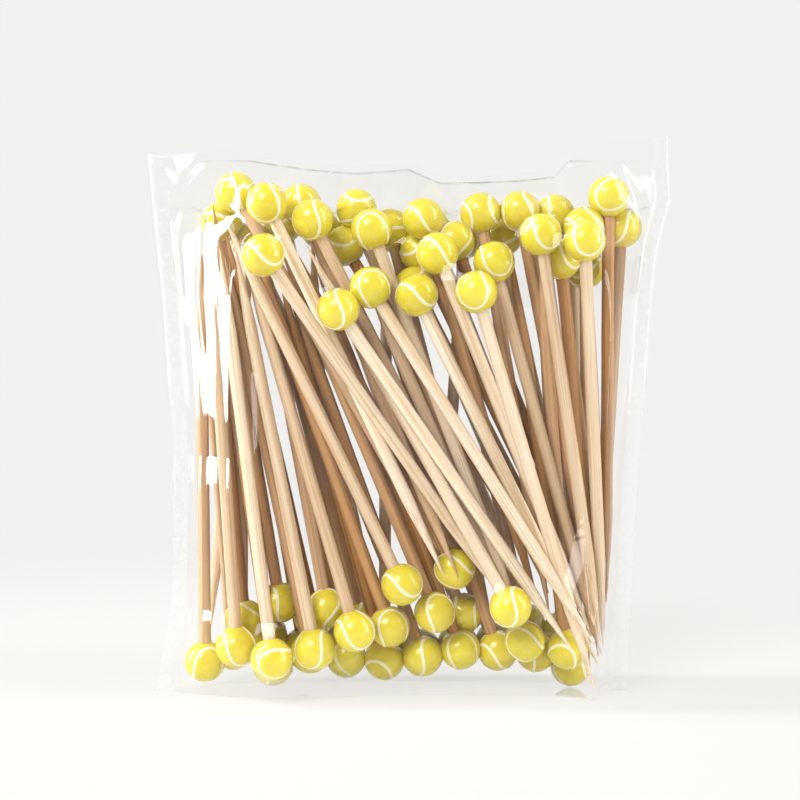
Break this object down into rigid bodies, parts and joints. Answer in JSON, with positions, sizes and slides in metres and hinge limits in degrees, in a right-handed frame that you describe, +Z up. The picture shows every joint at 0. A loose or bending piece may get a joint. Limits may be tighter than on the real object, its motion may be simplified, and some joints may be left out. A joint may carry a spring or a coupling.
{
  "type": "pack of cocktail picks",
  "caption": "Clear film pouch of loose pointed bamboo cocktail picks with glossy yellow ball heads, packed heads up and heads down, with a closing flap folded over behind.",
  "frame": {"origin": "middle of the base that the pouch stands on, under the middle of its depth", "axes": "+Z up towards the closing flap, -Y towards the front, +X to the right seen from the front"},
  "size_m": [0.1462, 0.061, 0.1567],
  "materials": {
    "film": "clear glossy polypropylene film",
    "tape": "clear adhesive strip",
    "bamboo": "bare split bamboo, satin",
    "bead_lacquer": "glossy yellow lacquer with a cream seam line",
    "joined_picks": "bare bamboo sticks with glossy yellow heads"
  },
  "bodies": {
    "pouch": {"pouch_film": "film", "back_picks_heads_up": "joined_picks", "back_picks_heads_down": "joined_picks", "inner_picks_heads_up": "joined_picks", "inner_picks_heads_down": "joined_picks", "stick_15": "bamboo", "bead_15": "bead_lacquer", "stick_16": "bamboo", "bead_16": "bead_lacquer"},
    "flap": {"closing_flap": "film", "adhesive_strip": "tape"},
    "pick_01": {"stick_01": "bamboo", "bead_01": "bead_lacquer"},
    "pick_02": {"stick_02": "bamboo", "bead_02": "bead_lacquer"},
    "pick_03": {"stick_03": "bamboo", "bead_03": "bead_lacquer"},
    "pick_04": {"stick_04": "bamboo", "bead_04": "bead_lacquer"},
    "pick_05": {"stick_05": "bamboo", "bead_05": "bead_lacquer"},
    "pick_06": {"stick_06": "bamboo", "bead_06": "bead_lacquer"},
    "pick_07": {"stick_07": "bamboo", "bead_07": "bead_lacquer"},
    "pick_08": {"stick_08": "bamboo", "bead_08": "bead_lacquer"},
    "pick_09": {"stick_09": "bamboo", "bead_09": "bead_lacquer"},
    "pick_10": {"stick_10": "bamboo", "bead_10": "bead_lacquer"},
    "pick_11": {"stick_11": "bamboo", "bead_11": "bead_lacquer"},
    "pick_12": {"stick_12": "bamboo", "bead_12": "bead_lacquer"},
    "pick_13": {"stick_13": "bamboo", "bead_13": "bead_lacquer"},
    "pick_14": {"stick_14": "bamboo", "bead_14": "bead_lacquer"},
    "pick_17": {"stick_17": "bamboo", "bead_17": "bead_lacquer"},
    "pick_18": {"stick_18": "bamboo", "bead_18": "bead_lacquer"},
    "pick_19": {"stick_19": "bamboo", "bead_19": "bead_lacquer"},
    "pick_20": {"stick_20": "bamboo", "bead_20": "bead_lacquer"},
    "pick_21": {"stick_21": "bamboo", "bead_21": "bead_lacquer"},
    "pick_22": {"stick_22": "bamboo", "bead_22": "bead_lacquer"},
    "pick_23": {"stick_23": "bamboo", "bead_23": "bead_lacquer"},
    "pick_24": {"stick_24": "bamboo", "bead_24": "bead_lacquer"},
    "pick_25": {"stick_25": "bamboo", "bead_25": "bead_lacquer"},
    "pick_26": {"stick_26": "bamboo", "bead_26": "bead_lacquer"}
  },
  "joints": [
    {"name": "flap_fold", "type": "hinge", "parent": "pouch", "child": "flap", "pos_m": [0, 0.00301, 0.15], "axis": [1, 0, 0], "range_deg": [0, 110]},
    {"name": "pick_01_play", "type": "slide", "parent": "pouch", "child": "pick_01", "axis": [-0.0034, -0.0083, 1], "range_m": [0, 0.002]},
    {"name": "pick_02_play", "type": "slide", "parent": "pouch", "child": "pick_02", "axis": [-0.0689, 0.0593, 0.9959], "range_m": [0, 0.002]},
    {"name": "pick_03_play", "type": "slide", "parent": "pouch", "child": "pick_03", "axis": [-0.1315, 0.1092, 0.9853], "range_m": [0, 0.002]},
    {"name": "pick_04_play", "type": "slide", "parent": "pouch", "child": "pick_04", "axis": [-0.1979, 0.0936, 0.9757], "range_m": [0, 0.002]},
    {"name": "pick_05_play", "type": "slide", "parent": "pouch", "child": "pick_05", "axis": [-0.1403, 0.0628, 0.9881], "range_m": [0, 0.002]},
    {"name": "pick_06_play", "type": "slide", "parent": "pouch", "child": "pick_06", "axis": [-0.0657, -0.1007, 0.9928], "range_m": [0, 0.002]},
    {"name": "pick_07_play", "type": "slide", "parent": "pouch", "child": "pick_07", "axis": [-0.1532, -0.0235, 0.9879], "range_m": [0, 0.002]},
    {"name": "pick_08_play", "type": "slide", "parent": "pouch", "child": "pick_08", "axis": [-0.2685, -0.0316, 0.9628], "range_m": [0, 0.002]},
    {"name": "pick_09_play", "type": "slide", "parent": "pouch", "child": "pick_09", "axis": [-0.2844, 0.1383, 0.9487], "range_m": [0, 0.002]},
    {"name": "pick_10_play", "type": "slide", "parent": "pouch", "child": "pick_10", "axis": [-0.3397, 0.0317, 0.94], "range_m": [0, 0.002]},
    {"name": "pick_11_play", "type": "slide", "parent": "pouch", "child": "pick_11", "axis": [-0.3907, 0.0838, 0.9167], "range_m": [0, 0.002]},
    {"name": "pick_12_play", "type": "slide", "parent": "pouch", "child": "pick_12", "axis": [-0.4368, 0.0628, 0.8974], "range_m": [0, 0.002]},
    {"name": "pick_13_play", "type": "slide", "parent": "pouch", "child": "pick_13", "axis": [-0.4016, 0.0323, 0.9152], "range_m": [0, 0.002]},
    {"name": "pick_14_play", "type": "slide", "parent": "pouch", "child": "pick_14", "axis": [-0.4576, 0.0372, 0.8884], "range_m": [0, 0.002]},
    {"name": "pick_17_play", "type": "slide", "parent": "pouch", "child": "pick_17", "axis": [-0.4312, 0.0311, 0.9017], "range_m": [0, 0.002]},
    {"name": "pick_18_play", "type": "slide", "parent": "pouch", "child": "pick_18", "axis": [-0.3586, 0.0481, 0.9323], "range_m": [0, 0.002]},
    {"name": "pick_19_play", "type": "slide", "parent": "pouch", "child": "pick_19", "axis": [-0.3764, -0.0311, 0.9259], "range_m": [0, 0.002]},
    {"name": "pick_20_play", "type": "slide", "parent": "pouch", "child": "pick_20", "axis": [-0.4422, -0.0242, 0.8966], "range_m": [0, 0.002]},
    {"name": "pick_21_play", "type": "slide", "parent": "pouch", "child": "pick_21", "axis": [-0.2886, -0.0136, 0.9574], "range_m": [0, 0.002]},
    {"name": "pick_22_play", "type": "slide", "parent": "pouch", "child": "pick_22", "axis": [-0.4497, -0.052, 0.8917], "range_m": [0, 0.002]},
    {"name": "pick_23_play", "type": "slide", "parent": "pouch", "child": "pick_23", "axis": [-0.5674, -0.0705, 0.8204], "range_m": [0, 0.002]},
    {"name": "pick_24_play", "type": "slide", "parent": "pouch", "child": "pick_24", "axis": [-0.4892, 0.1148, 0.8645], "range_m": [0, 0.002]},
    {"name": "pick_25_play", "type": "slide", "parent": "pouch", "child": "pick_25", "axis": [-0.5293, 0.0792, 0.8448], "range_m": [0, 0.002]},
    {"name": "pick_26_play", "type": "slide", "parent": "pouch", "child": "pick_26", "axis": [-0.5647, -0.033, 0.8247], "range_m": [0, 0.002]}
  ]
}
